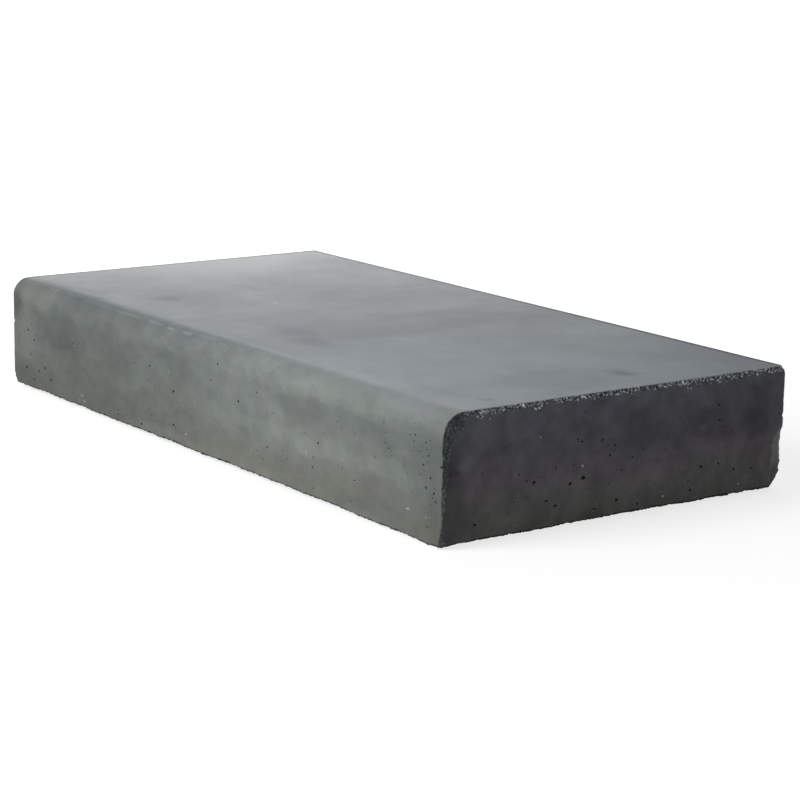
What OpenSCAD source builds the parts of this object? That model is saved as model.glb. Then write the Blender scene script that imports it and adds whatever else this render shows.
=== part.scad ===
// Concrete step block: a solid cast step with a bullnosed tread.
// The frame stands at the middle of the bed: +X runs along the length, +Y to the back, +Z up.
// The block is cast in one piece. Its arrises come from the mould, and two corners and one
// upright arris carry the knocks of handling.

/* [Block] */
// Length of the block, along the bullnose
block_l = 1000; // [400:10:2000]
// Depth of the block, from the front face to the back
block_d = 500; // [300:10:600]
// Rise of the step, from the bed to the tread
block_h = 150; // [120:5:200]

/* [Bullnose] */
// Radius of the bullnose along the top front edge
nosing_r = 28; // [15:1:50]

/* [Arrises] */
// Radius of the arris round the top and the sides of each end
end_arris_r = 5; // [2:0.5:10]
// Radius of the arris along the top back edge
back_arris_r = 4; // [2:0.5:10]
// Radius of the worn arris round the bed
bed_arris_r = 8; // [3:0.5:12]

/* [Broken heel, right end, back] */
// How far the break runs along the length
heel_break_l = 30; // [15:1:60]
// How far the break runs along the depth
heel_break_d = 25; // [15:1:60]
// How far the break runs up the arris
heel_break_h = 29; // [15:1:60]

/* [Chipped toe, left end, front] */
// How far the chip runs along the length
toe_chip_l = 17; // [12:1:40]
// How far the chip runs along the depth
toe_chip_d = 14; // [12:1:40]
// How far the chip runs up the arris
toe_chip_h = 26; // [12:1:40]

/* [Spalled arris, right end, back] */
// Height of the middle of the spall above the bed
spall_mid_h = 48; // [40:1:70]
// Length of the spall, up the arris
spall_l = 60; // [30:1:70]
// Depth of the spall at its middle
spall_depth = 4; // [1:0.5:8]

/* [Hidden] */

// Sides of a full circle, on the bullnose and on the arrises
$fn = 96;
// How far a cutting shape runs past the surface that it cuts
past = 1;
// Radius of the round dish that makes a spall of that length and depth
spall_r = (pow(spall_l / 2, 2) + pow(spall_depth, 2)) / (2 * spall_depth);

// What a corner of radius r loses: the corner is the origin, the solid lies towards +X and +Y
module corner_waste(r) {
    difference() {
        translate([-past, -past]) square(r + past);
        translate([r, r]) circle(r);
    }
}

// A rectangle that stands on the origin, with the radii of its corners anticlockwise from the
// lower left one; a radius of 0 leaves the corner square
module rounded_face(w, h, radii) {
    corners = [[-w / 2, 0], [w / 2, 0], [w / 2, h], [-w / 2, h]];
    difference() {
        translate([-w / 2, 0]) square([w, h]);
        for (i = [0:3])
            if (radii[i] > 0)
                translate(corners[i]) rotate(90 * i) corner_waste(radii[i]);
    }
}

// Runs an upright outline of depth and height along the length
module along_length() {
    rotate([90, 0, 90]) linear_extrude(block_l, center = true) children();
}

// Runs an upright outline of length and height through the depth
module along_depth() {
    rotate([90, 0, 0]) linear_extrude(block_d, center = true) children();
}

// Section across the block, with a square rebate where the bullnose goes
module section() {
    difference() {
        rounded_face(block_d, block_h, [bed_arris_r, bed_arris_r, back_arris_r, 0]);
        translate([-block_d / 2 - past, block_h - nosing_r]) square(nosing_r + past);
    }
}

// The block without its bullnose: the three outlines that a mould maker draws, run through
// each other, so that each one rounds the edges which the other two leave sharp
module body() {
    end_r = end_arris_r;
    intersection() {
        along_length() section();
        along_depth() rounded_face(block_l, block_h, [bed_arris_r, bed_arris_r, end_r, end_r]);
        linear_extrude(block_h)
            translate([0, -block_d / 2]) rounded_face(block_l, block_d, [end_r, end_r, end_r, end_r]);
    }
}

// The bullnose is a quarter turn of a bar whose ends are rounded, so the arris of each end runs
// round it without a break
module bullnose() {
    end_r = end_arris_r;
    translate([0, -block_d / 2 + nosing_r, block_h - nosing_r])
        rotate([90, 0, 90]) rotate(90) rotate_extrude(angle = 90)
            translate([0, -block_l / 2]) intersection() {
                rounded_face(2 * nosing_r, block_l, [end_r, end_r, end_r, end_r]);
                square([nosing_r, block_l]);
            }
}

// What a break takes off a corner: the corner is the origin, the solid lies towards +X, +Y and
// +Z, and the break is the flat through the three points that it reaches on the edges
module corner_break(l, d, h) {
    slope = [1 / l, 1 / d, 1 / h];
    lean = acos(slope.z / norm(slope));
    turn = atan2(slope.y, slope.x);
    side = 4 * max(l, d, h);
    rotate([0, lean, turn])
        translate([-side / 2, -side / 2, 1 / norm(slope) - side]) cube(side);
}

// What the spall takes off the upright arris: a shallow dish, cut square to the arris
module arris_spall() {
    arris = end_arris_r * (1 - cos(45));
    translate([block_l / 2 - arris, block_d / 2 - arris, spall_mid_h])
        rotate(45) translate([spall_r - spall_depth, 0, 0])
            rotate([90, 0, 0]) cylinder(h = 4 * (spall_depth + end_arris_r), r = spall_r, center = true);
}

module step_block() {
    color("#6f7475") difference() {
        union() {
            body();
            bullnose();
        }
        translate([block_l / 2, block_d / 2, 0])
            rotate(180) corner_break(heel_break_l, heel_break_d, heel_break_h);
        translate([-block_l / 2, -block_d / 2, 0])
            corner_break(toe_chip_l, toe_chip_d, toe_chip_h);
        arris_spall();
    }
}

step_block();
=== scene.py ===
# %% [markdown]
# # A precast concrete step block
#
# This lesson dresses one solid block of concrete: a step, a metre long, that lies on its bed.
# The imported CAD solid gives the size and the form. What it lacks is everything that tells you
# the block is concrete: arrises where sand shows, bubbles that the mould face trapped, a ragged
# bed edge, a smooth tread with clouds in it. Those are made here, the larger ones as real
# geometry and the finest as bump.

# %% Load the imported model
import itertools
import math

import bmesh
import bpy
import numpy as np
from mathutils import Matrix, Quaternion, Vector
from mathutils.bvhtree import BVHTree


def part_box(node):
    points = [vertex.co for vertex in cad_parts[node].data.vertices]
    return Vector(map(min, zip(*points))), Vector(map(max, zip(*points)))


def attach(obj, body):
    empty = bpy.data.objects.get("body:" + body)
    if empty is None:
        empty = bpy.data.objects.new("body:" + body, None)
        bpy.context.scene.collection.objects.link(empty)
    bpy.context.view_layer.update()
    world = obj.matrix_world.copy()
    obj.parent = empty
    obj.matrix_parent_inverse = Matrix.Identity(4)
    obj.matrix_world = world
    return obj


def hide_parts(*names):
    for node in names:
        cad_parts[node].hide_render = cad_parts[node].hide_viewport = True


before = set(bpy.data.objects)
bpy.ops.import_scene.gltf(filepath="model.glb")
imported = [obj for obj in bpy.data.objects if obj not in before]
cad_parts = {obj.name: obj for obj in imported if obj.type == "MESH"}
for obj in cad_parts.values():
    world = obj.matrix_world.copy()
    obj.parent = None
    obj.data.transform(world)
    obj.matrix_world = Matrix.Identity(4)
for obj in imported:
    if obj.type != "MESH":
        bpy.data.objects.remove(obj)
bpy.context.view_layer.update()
MM = 0.001
low_corner, high_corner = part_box("step_block")
LENGTH, DEPTH, RISE = (high_corner - low_corner) / MM
print(f"the block is {LENGTH:.0f} x {DEPTH:.0f} x {RISE:.0f} mm")

# %% [markdown]
# ## The camera
#
# A step is shown best by a three-quarter view from low down, with a long lens, so that its sides
# stay nearly parallel. The camera comes first, because it decides how fine the detail has to be:
# from here, a millimetre on the near end is about the smallest thing that can be made out.

# %% Set up the camera
AZIMUTH, ELEVATION, ROLL = math.radians(54.30), math.radians(12.41), math.radians(0.93)
LENS_MM, SENSOR_MM = 111.5, 36
CAMERA_PLACE = Vector((2.549, -1.780, 0.728))

backwards = Vector((
    math.sin(AZIMUTH) * math.cos(ELEVATION),
    -math.cos(AZIMUTH) * math.cos(ELEVATION),
    math.sin(ELEVATION),
))
camera = bpy.data.objects.new("camera", bpy.data.cameras.new("camera"))
camera.data.lens = LENS_MM
camera.data.sensor_width = SENSOR_MM
camera.location = CAMERA_PLACE
camera.rotation_mode = "QUATERNION"
level_view = (-backwards).to_track_quat("-Z", "Y")
camera.rotation_quaternion = level_view @ Quaternion((0, 0, 1), ROLL)
bpy.context.scene.collection.objects.link(camera)
bpy.context.scene.camera = camera
print(f"the camera stands {CAMERA_PLACE.length:.2f} m from the middle of the bed")

# %% [markdown]
# ## Noise that repeats
#
# Concrete is random, but a model has to come out the same on every run. These functions turn a
# place in the block into a number: the same place always gives the same number. `cloud` is
# smooth, for waves and ragged edges. `grain` is the distance to the nearest of many scattered
# points, which is how sand looks close up. Blender has noise of its own, but it takes one point
# at a time, and here there are tens of thousands.
#
# From here on, `0.9 * cloud(points, 9, 14)` means a wander of up to 0.9 mm either way in blobs
# of 9 mm. The last number picks one noise out of many, so that no two wander alike.

# %% Noise in space, for points in millimetres
HASH_STEPS = (73856093, 19349663, 83492791)
SEED_STEP = 2654435761
HASH_TURN = 1274126177
LOW_BITS = 0xFFFFFF
FAR_OFF = 99.0


def scatter(cells, seed):
    """One number from 0 to 1 for each whole-numbered cell."""
    whole = cells.astype(np.int64)
    mixed = np.full(len(whole), seed * SEED_STEP, np.int64)
    for axis, step in enumerate(HASH_STEPS):
        mixed ^= whole[:, axis] * step
    mixed = (mixed ^ (mixed >> 13)) * HASH_TURN
    mixed ^= mixed >> 16
    return (mixed & LOW_BITS) / LOW_BITS


def cloud(points, size, seed):
    """Smooth noise from -1 to 1 in blobs of about that size."""
    place = points / size
    cell = np.floor(place)
    part = place - cell
    part = part * part * (3 - 2 * part)
    total = np.zeros(len(points))
    for corner in itertools.product((0, 1), repeat=3):
        weight = np.prod(np.where(corner, part, 1 - part), axis=1)
        total += weight * scatter(cell + corner, seed)
    return 2 * total - 1


def grain(points, size, seed):
    """Distance to the nearest grain's middle, where 1 is the size of a grain."""
    place = points / size
    cell = np.floor(place)
    nearest = np.full(len(points), FAR_OFF)
    for step in itertools.product((-1, 0, 1), repeat=3):
        home = cell + step
        middle = home + np.stack([scatter(home, seed + axis) for axis in range(3)], axis=1)
        nearest = np.minimum(nearest, np.linalg.norm(place - middle, axis=1))
    return nearest


def ramp(values, start, end):
    """0 at start, 1 at end and a smooth rise between."""
    share = np.clip((values - start) / (end - start), 0, 1)
    return share * share * (3 - 2 * share)


trial = np.stack(np.meshgrid(*[np.arange(12.0)] * 3), axis=-1).reshape(-1, 3)
print(f"cloud runs from {cloud(trial, 5, 1).min():.2f} to {cloud(trial, 5, 1).max():.2f}")

# %% [markdown]
# ## The form as a distance
#
# A block with this much wear is awkward to build from edges and bevels, because every arris has
# its own radius and its own damage. It is easier to describe by one function that gives, for any
# point, how far outside the block it lies. The flat faces are plain differences, an arris is a
# rule for joining two of them, and wear only ever takes something away.

# %% Sizes of the form in millimetres
# The bullnose and the heel break are the solid's own. The arrises are sharper, because the
# solid's bed arris also stands for the ragged edge, and its end arrises for the crumbled ones.
# The bullnose tightens towards its left end, the toe chip is a little smaller, and the chips at
# the horn, which is the corner above the heel, and at the right toe are only here.
NOSING_R, LEFT_NOSING_R = 28, 23
NOSING_TIGHTENS_FROM = -380
LEFT_ARRIS_R, RIGHT_ARRIS_R = 2, 2.2
BACK_ARRIS_R = 2
BED_ARRIS_R = 1.5
HEEL, HEEL_BREAK = (LENGTH / 2, DEPTH / 2, 0), (30, 25, 29)
TOE, TOE_CHIP = (-LENGTH / 2, -DEPTH / 2, 0), (14, 12, 24)
HORN, HORN_CHIP = (LENGTH / 2, DEPTH / 2, RISE), (12, 9, 8)
RIGHT_TOE, RIGHT_TOE_CHIP = (LENGTH / 2, -DEPTH / 2, 0), (8, 8, 30)


def past_faces(points):
    """How far each point lies past the front, the back, the tread, the bed and the ends."""
    x, y, z = points.T
    return -y - DEPTH / 2, y - DEPTH / 2, z - RISE, -z, np.abs(x) - LENGTH / 2


def arris(one, other, radius):
    """Joins two faces by a round arris."""
    outside = np.hypot(np.maximum(one + radius, 0), np.maximum(other + radius, 0))
    return np.minimum(np.maximum(one, other), -radius) + outside


def cross_section(points):
    """How far each point lies outside the outline that runs the length of the block."""
    front, back, top, bed, _ = past_faces(points)
    tightened = ramp(points[:, 0], NOSING_TIGHTENS_FROM, -LENGTH / 2)
    nosing_r = NOSING_R + (LEFT_NOSING_R - NOSING_R) * tightened
    upper = np.maximum(arris(front, top, nosing_r), arris(back, top, BACK_ARRIS_R))
    lower = np.maximum(arris(front, bed, BED_ARRIS_R), arris(back, bed, BED_ARRIS_R))
    return np.maximum(upper, lower)


tread_middle = np.array([[0.0, 0.0, RISE]])
print(f"the tread lies {abs(cross_section(tread_middle)[0]):.3f} mm from the outline")

# %% [markdown]
# ## Wear
#
# Five knocks show: a heel corner broken off, small chips at both toes and on the corner above
# the heel, and a shallow spall up one arris. Concrete breaks round its stones, so a break is a
# plane made rough by noise. The ends were stopped with loose boards, where the paste ran out of
# the joint and left the sand, so their arrises are open and crumbly. The bed is the top of the
# pour, struck off with a board. It falls away towards its rim, so the block bears on its middle
# and a ragged lip hangs round it.
#
# Sculpting such damage by hand looks right once and can't be changed. Here each kind is a
# function that says how deep a point lies in what is gone, and the deepest one counts.

# %% Broken corners and the spall
BREAK_ROUGHNESS, STONES_WIDE, SAND_WIDE, SAND_SHARE = 0.8, 7, 2.6, 0.5
BREAK_BULGE = 0.6


def broken_corner(points, corner, reach, seed):
    """How deep each point lies in what a knock took off a corner."""
    across, along, up = (np.abs(points - corner) / reach).T
    share = across + along + up + BREAK_BULGE * (across * along + along * up + up * across)
    depth = (1 - share) / np.linalg.norm(1 / np.array(reach, float))
    knobs = cloud(points, STONES_WIDE, seed) + SAND_SHARE * cloud(points, SAND_WIDE, seed)
    return depth + BREAK_ROUGHNESS * knobs


SPALL_NORMAL = (0.970, 0.242)
SPALL_WIDTH = 17
SPALL_FULL, SPALL_END = 62, 80
SPALL_FADE = 4.0


def spall(points, seed):
    """How deep each point lies in what flaked off the end beside the right rear arris."""
    from_edge = points[:, :2] - (LENGTH / 2, DEPTH / 2 - SPALL_WIDTH)
    height = points[:, 2] + 5 * cloud(points, 14, seed)
    faded = SPALL_FADE * ramp(height, SPALL_FULL, SPALL_END)
    return from_edge @ SPALL_NORMAL - faded + 0.9 * cloud(points, 9, seed + 1)


SPALL_MIDDLE = 48
on_arris = np.array([[LENGTH / 2, DEPTH / 2, SPALL_MIDDLE]])
print(f"the spall takes {spall(on_arris, 13)[0]:.1f} mm off the arris {SPALL_MIDDLE} mm up")

# %% Crumbled ends
# How wide the open bevel is on the end: up the front arris, along the top and up the rear arris
FRONT_OPEN = (
    (0, 0.8), (30, 1.0), (45, 1.8), (60, 3.2), (72, 6.0),
    (100, 8.0), (113, 11.0), (130, 12.0), (150, 8.5),
)
TOP_OPEN = ((-222, 6.0), (-190, 4.6), (-60, 4.2), (120, 4.6), (225, 5.4), (250, 4.0))
REAR_OPEN = ((0, 0.4), (128, 0.6), (140, 2.0), (150, 4.5))
# The front arris ends at the first of these places, and the rear one starts at the second.
# Along the foot of the end there is next to no bevel.
FRONT_REACHES, REAR_STARTS = -222, 244
# How wide it is on the other side of the arris: more on the tread than on the long faces
OPEN_ON_TREAD, OPEN_ON_FACE = 1.5, 1.1
WIDENS_FROM, WIDENS_TO = 135, 149
LEAST_OPEN, LEFT_SHARE = 0.2, 0.2
# Nicks go straight through an arris, below the height where they start to fade
NICK_LEAST, NICK_ON_END, NICK_ON_SIDE = 0.35, 3, 5
NICKS_FADE, NICKS_GONE = 100, 120
# Deeper bites along the top: place, half width and how much wider the bevel is there
BITES = ((-201, 6, 7), (-188, 4, 4), (-124, 8, 2.5), (95, 7, 2))


def along(values, table):
    """Reads a table of places and widths."""
    return np.interp(values, *zip(*table))


def crumbled_end(points, section, end):
    """How deep each point lies in the sandy bevel that runs round each end."""
    x, y, z = points.T
    on_top = along(y, TOP_OPEN)
    for place, half_width, extra in BITES:
        on_top += extra * np.exp(-(((y - place) / half_width) ** 2))
    on_top[z < RISE / 2] = LEAST_OPEN
    on_end = np.where(y > REAR_STARTS, along(z, REAR_OPEN), on_top)
    on_end = np.where(y < FRONT_REACHES, along(z, FRONT_OPEN), on_end)
    on_side = OPEN_ON_FACE + (OPEN_ON_TREAD - OPEN_ON_FACE) * ramp(z, WIDENS_FROM, WIDENS_TO)
    on_end = on_end * (1 + 0.5 * cloud(points, 17, 31) + 0.45 * cloud(points, 6, 32))
    on_side = on_side * (1 + 0.7 * cloud(points, 11, 33) + 0.7 * cloud(points, 4, 34))
    nicks = np.maximum(cloud(points * (0, 0, 1), 7, 35) - NICK_LEAST, 0)
    nicks = nicks * ramp(z, NICKS_GONE, NICKS_FADE)
    share = np.where(x > 0, 1, LEFT_SHARE)
    on_end = np.maximum(on_end * share + NICK_ON_END * nicks, LEAST_OPEN)
    on_side = np.maximum(on_side * share + NICK_ON_SIDE * nicks, LEAST_OPEN)
    return (1 + section / on_end + end / on_side) / np.hypot(1 / on_end, 1 / on_side)


widest, widest_at = max((width, height) for height, width in FRONT_OPEN)
print(f"the open bevel is widest {widest_at} mm up the front arris: {widest} mm")

# %% The undercut rim of the bed
# Heights of the ragged lip along the front and along the ends, and how the bed slopes back
FRONT_LIP = ((-500, 5.6), (-300, 5.4), (0, 4.6), (150, 5.3), (260, 4.4), (340, 3.6), (470, 1.8), (500, 3.2))
END_LIP = ((-250, 4.0), (-100, 5.0), (50, 6.2), (115, 4.6), (220, 5.0), (250, 5.0))
UNDERCUT_SLOPE = 0.3
LIP_BEVEL = 1.3


def ragged_bed(points, sides, lips):
    """How deep each point lies in what is missing along the edges of the bed."""
    wander = 0.9 * cloud(points, 34, 41) + 0.7 * cloud(points, 11, 42) + 0.5 * cloud(points, 3.6, 43)
    lost = np.full(len(points), -FAR_OFF)
    for side, lip in zip(sides, lips):
        undercut = (lip + wander - points[:, 2] + UNDERCUT_SLOPE * side) / math.hypot(1, UNDERCUT_SLOPE)
        bevel = (lip + LIP_BEVEL * (1 + wander) - points[:, 2] + side) / math.sqrt(2)
        lost = np.maximum(lost, np.maximum(undercut, bevel))
    return lost


print(f"the lip stands {along(0, FRONT_LIP):.1f} mm up in the middle of the front")


# %% The worn block
def worn_block(points):
    """How far each point lies outside the block, and how deep in each kind of damage."""
    front, back, _, bed, end = past_faces(points)
    section = cross_section(points)
    end_radius = np.where(points[:, 0] > 0, RIGHT_ARRIS_R, LEFT_ARRIS_R)
    form = np.maximum(arris(section, end, end_radius), arris(bed, end, BED_ARRIS_R))
    heel = broken_corner(points, HEEL, HEEL_BREAK, 11)
    toe = broken_corner(points, TOE, TOE_CHIP, 12)
    horn = broken_corner(points, HORN, HORN_CHIP, 14)
    right_toe = broken_corner(points, RIGHT_TOE, RIGHT_TOE_CHIP, 15)
    front_lip, end_lip = along(points[:, 0], FRONT_LIP), along(points[:, 1], END_LIP)
    lips = (front_lip, front_lip, end_lip)
    damage = {
        "broken": np.maximum.reduce([heel, toe, horn, right_toe]),
        "flaked": spall(points, 13),
        "open_grain": crumbled_end(points, section, end),
        "ragged": ragged_bed(points, (front, back, end), lips),
    }
    return np.maximum(form, np.maximum.reduce(list(damage.values()))), damage


print(f"the heel corner lies {worn_block(np.array([HEEL]))[0][0]:.1f} mm outside the block")

# %% [markdown]
# ## A skin that is fine only where it has to be
#
# A metre of concrete at one millimetre a face would be millions of faces, nearly all of them on
# dead flat ground. So the skin starts as tiles of about 19 mm on a plain box. A tile near an
# arris, a break or the mould seam is cut in four, and its quarters again, until they are as
# small as the detail there asks for. A tile that meets smaller ones is cut like a pie round its
# middle, so that no edge is left open.

# %% How small a tile has to be
TILES = (52, 26, 8)
HALVINGS = 4
BIGGEST = 2**HALVINGS
GRID = np.array(TILES) * BIGGEST
STEP = np.array([LENGTH, DEPTH, RISE]) / GRID
FINE, MIDDLING, SOFT = 1.25, 2.5, 5.0
GROWTH = 0.6
SEAM_ANGLE = math.radians(30)
SEAM_FROM, SEAM_TO = -490, 60


def seam_distance(points):
    """Distance round the bullnose from the line where two plates of the mould met."""
    _, y, z = points.T
    turned = np.arctan2(-(y + DEPTH / 2 - NOSING_R), z - (RISE - NOSING_R))
    round_nose = NOSING_R * (turned - SEAM_ANGLE)
    past_end = np.maximum(SEAM_FROM - points[:, 0], points[:, 0] - SEAM_TO)
    return np.where((turned > 0) & (turned < math.pi / 2), round_nose, FAR_OFF), past_end


def tile_wanted(points):
    """The size of tile that the detail at each point asks for."""
    front, back, top, bed, end = past_faces(points)
    side = np.maximum(np.maximum(front, back), end)
    section = cross_section(points)
    seam, past_seam = seam_distance(points)
    right_end = LENGTH / 2 - points[:, 0]
    left_end = LENGTH / 2 + points[:, 0]
    shown_side = np.maximum(front, -right_end)
    # Each line: a size of tile, and how far the point lies outside the zone that asks for it
    places = (
        (FINE, np.maximum(-section - 10, right_end - 5)),
        (MIDDLING, np.maximum(-section - 6, left_end - 4)),
        (FINE, np.maximum(np.abs(seam) - 2, past_seam)),
        (FINE, np.maximum(-bed - 10, -shown_side - 2)),
        (MIDDLING, np.maximum(-bed - 9, -side - 22)),
        (MIDDLING, np.maximum(-back, -top) - 4),
        (MIDDLING, np.linalg.norm(points - HEEL, axis=1) - 40),
        (MIDDLING, np.linalg.norm(points - TOE, axis=1) - 26),
        (SOFT, np.maximum(-front, -top) - NOSING_R),
    )
    wanted = [size + GROWTH * np.maximum(outside, 0) for size, outside in places]
    return np.minimum.reduce(wanted)


print(f"tiles run from {STEP.max():.2f} to {STEP.max() * BIGGEST:.1f} mm")


# %% Split the tiles on each side of the box
def on_side(axis, level, across):
    """Grid points on the side of the box where that axis has that level."""
    found = np.empty((len(across), 3))
    found[:, axis] = level
    found[:, [other for other in range(3) if other != axis]] = across
    return found


def split_side(axis, level):
    """Groups of tiles of one size: the side, their first corners and their size."""
    counts = [range(TILES[other]) for other in range(3) if other != axis]
    tiles = np.array(list(itertools.product(*counts))) * BIGGEST
    size, groups = BIGGEST, []
    while size > 1:
        middles = on_side(axis, level, tiles + size / 2) * STEP - (LENGTH / 2, DEPTH / 2, 0)
        split = tile_wanted(middles) < size * STEP.max()
        groups.append((axis, level, tiles[~split], size))
        size //= 2
        quarters = [(0, 0), (size, 0), (0, size), (size, size)]
        tiles = np.concatenate([tiles[split] + quarter for quarter in quarters])
    return groups + [(axis, level, tiles, size)]


groups = []
for box_axis, last_level in enumerate(GRID):
    groups += split_side(box_axis, 0) + split_side(box_axis, last_level)
print(f"{sum(len(tiles) for _, _, tiles, _ in groups)} tiles")


# %% Join the tiles into one closed skin
def number(grid_points):
    """One whole number for each point of the grid."""
    strides = np.array([(GRID[1] + 1) * (GRID[2] + 1), GRID[2] + 1, 1])
    return np.rint(grid_points).astype(np.int64) @ strides


def rim_of_tile(size):
    """The grid steps round a tile, anticlockwise."""
    up = np.arange(size)
    full, none = np.full(size, size), np.zeros(size, int)
    sides = ((up, none), (full, up), (size - up, full), (none, size - up))
    return np.concatenate([np.stack(side, axis=1) for side in sides])


corners = np.unique(np.concatenate([
    number(on_side(axis, level, tiles + np.array(quarter) * size))
    for axis, level, tiles, size in groups
    for quarter in itertools.product((0, 1), repeat=2)
]))
skin_faces, hubs = [], []
for axis, level, tiles, size in groups:
    rim = (tiles[:, None] + rim_of_tile(size)).reshape(-1, 2)
    rim_numbers = number(on_side(axis, level, rim)).reshape(len(tiles), 4 * size)
    places = np.searchsorted(corners, rim_numbers).clip(max=len(corners) - 1)
    in_use = corners[places] == rim_numbers
    middles = on_side(axis, level, tiles + size / 2)
    faces_out = (level > 0) == (axis != 1)
    for ring, used, middle in zip(places, in_use, middles):
        ring = ring[used].tolist()
        if not faces_out:
            ring.reverse()
        if len(ring) == 4:
            skin_faces.append(ring)
            continue
        hub = len(corners) + len(hubs)
        hubs.append(middle)
        skin_faces += [[hub, one, other] for one, other in zip(ring, ring[1:] + ring[:1])]
on_grid = np.stack(np.unravel_index(corners, GRID + 1), axis=1)
box_points = np.concatenate([on_grid, np.array(hubs)]) * STEP - (LENGTH / 2, DEPTH / 2, 0)
triangles = sum(len(face) - 2 for face in skin_faces)
print(f"{len(box_points)} points, {triangles} triangles")

# %% [markdown]
# ## Settle the skin on the block
#
# Each point of the plain box now moves straight inwards until it reaches the worn block. Where
# it lands, halving the way over and over finds within two dozen tries. Blender's shrinkwrap
# would need a finished surface to wrap to, and here there is only the function. Then the broken
# parts get their grain: a point sinks where it lies between grains of sand and stays where it
# sits on one. The mould's faces get only slow waves of a few tenths of a millimetre and one
# fine fin, where two plates of the mould met on the bullnose and paste seeped into the joint.

# %% Find the surface under each point
INSET = 30
HALF_STEPS = 22
STILL_ON_BOX = 0.9999
inner_low = np.array([-LENGTH / 2, -DEPTH / 2, 0]) + INSET
inner_high = np.array([LENGTH / 2, DEPTH / 2, RISE]) - INSET
anchors = np.clip(box_points, inner_low, inner_high)
reach = box_points - anchors
near, far = np.zeros(len(reach)), np.ones(len(reach))
for _ in range(HALF_STEPS):
    way = (near + far) / 2
    outside = worn_block(anchors + reach * way[:, None])[0] > 0
    near, far = np.where(outside, near, way), np.where(outside, way, far)
surface = anchors + reach * near[:, None]
damage = worn_block(surface)[1]
print(f"{(near > STILL_ON_BOX).sum()} of {len(near)} points stay on the plain box")

# %% Roughen the broken parts
SAND_MM, STONE_MM = 2.8, 5.5
PIT_DEPTH, STONE_SHARE = 1.0, 0.5
MASK_FROM, MASK_FULL = -0.45, 0.05
# From the middle of a grain outwards: where its flank starts and where it ends
SAND_FLANK, STONE_FLANK = (0.15, 0.75), (0.3, 0.9)
SIDE_FADE = 3
masks = {kind: ramp(depth, MASK_FROM, MASK_FULL) for kind, depth in damage.items()}
rough = np.maximum.reduce(list(masks.values()))
sand = ramp(grain(surface, SAND_MM, 51), *SAND_FLANK)
stones = ramp(grain(surface, STONE_MM, 61), *STONE_FLANK)
sink = rough * (PIT_DEPTH * sand + STONE_SHARE * PIT_DEPTH * stones)

*_, bed, end = past_faces(surface)
waves = 0.10 * (1 + cloud(surface, 210, 71)) + 0.04 * (1 + cloud(surface, 48, 72))
on_bed = ramp(bed, -SIDE_FADE, 0)
strike_marks = 0.5 * (1 + cloud(surface * (1, 0.35, 1), 26, 73)) + 0.3 * (1 + cloud(surface, 7, 74))
on_end = ramp(end, -SIDE_FADE, 0)
board_marks = 0.14 * (1 + cloud(surface * (1, 0.3, 1.6), 24, 75)) + 0.08 * (1 + cloud(surface, 6, 76))
sink += (1 - rough) * (waves + on_bed * strike_marks + on_end * board_marks)
print(f"the bed's own relief reaches {on_bed.mean():.0%} of the points, the ends' {on_end.mean():.0%}")
print(f"points sink by {sink.mean():.2f} mm on average and {sink.max():.2f} mm at most")

# %% The fin of the mould seam
FIN_HEIGHT, FIN_WIDTH = 0.42, 1.1
FIN_RUNS_OUT = 90
# The skin sinks a little on both sides of the fin, so that the fin stays inside the solid's box
BASE_SINK, BASE_REACH = 0.45, 25
seam, past_seam = seam_distance(surface)
along_seam = surface * (1, 0, 0)
patchy = cloud(along_seam, 46, 81) + 0.6 * cloud(along_seam, 13, 82)
left_standing = ramp(patchy, -0.35, 0.35)
fade = ramp(-past_seam, 0, FIN_RUNS_OUT) * left_standing
fin = FIN_HEIGHT * np.exp(-((seam / FIN_WIDTH) ** 2))
near_seam = ramp(np.abs(seam), BASE_REACH, 0)
sink += near_seam * BASE_SINK - fade * near_seam * fin
sink = np.maximum(sink, 0)
inward = -reach / np.maximum(np.linalg.norm(reach, axis=1), 1e-6)[:, None]
surface = surface + inward * sink[:, None]
print(f"the fin stands {fade.max() * FIN_HEIGHT:.2f} mm proud where it is highest")

# %% Make the mesh of the block
block_mesh = bpy.data.meshes.new("cast_block")
block_mesh.from_pydata((surface * MM).tolist(), [], skin_faces)
for kind, mask in masks.items():
    block_mesh.attributes.new(kind, "FLOAT", "POINT").data.foreach_set("value", mask)
cast_block = bpy.data.objects.new("cast_block", block_mesh)
bpy.context.scene.collection.objects.link(cast_block)
print(f"{len(block_mesh.polygons)} faces, sides {[round(side, 4) for side in cast_block.dimensions]} m")

# %% [markdown]
# ## Colours and one helper for nodes
#
# Colours are written as six-figure sRGB codes and turned to linear light, which is what the
# shaders reckon in. Patterns are set by their real size in millimetres. `add` puts one node in a
# finish, gives it its settings and links it up. Where it is handed a whole node, it takes that
# node's first working output, so most steps need no socket names.

# %% Colours, pattern sizes and nodes
def linear(code):
    """A colour such as 8a8d8e as linear red, green and blue, and full alpha."""
    parts = [int(code[at:at + 2], 16) / 255 for at in (0, 2, 4)]
    return [part / 12.92 if part < 0.04 else ((part + 0.055) / 1.055) ** 2.4 for part in parts] + [1]


def per_metre(millimetres):
    """The scale that makes the features of a pattern that big."""
    return 1 / (millimetres * MM)


def add(tree, kind, inputs=None, stops=(), **settings):
    """Adds a node with its settings and stops, and links or sets its inputs."""
    node = tree.nodes.new("ShaderNode" + kind)
    for setting, value in settings.items():
        setattr(node, setting, value)
    for name, value in (inputs or {}).items():
        fitting = [one for one in node.inputs if one.enabled and one.name == name]
        socket = fitting[0] if fitting else node.inputs[name]
        if isinstance(value, bpy.types.Node):
            value = next(one for one in value.outputs if one.enabled)
        if isinstance(value, bpy.types.NodeSocket):
            tree.links.new(value, socket)
        else:
            socket.default_value = value
    for number, (position, colour) in enumerate(stops):
        elements = node.color_ramp.elements
        stop = elements[number] if number < 2 else elements.new(position)
        stop.position, stop.color = position, colour
    return node


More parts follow.
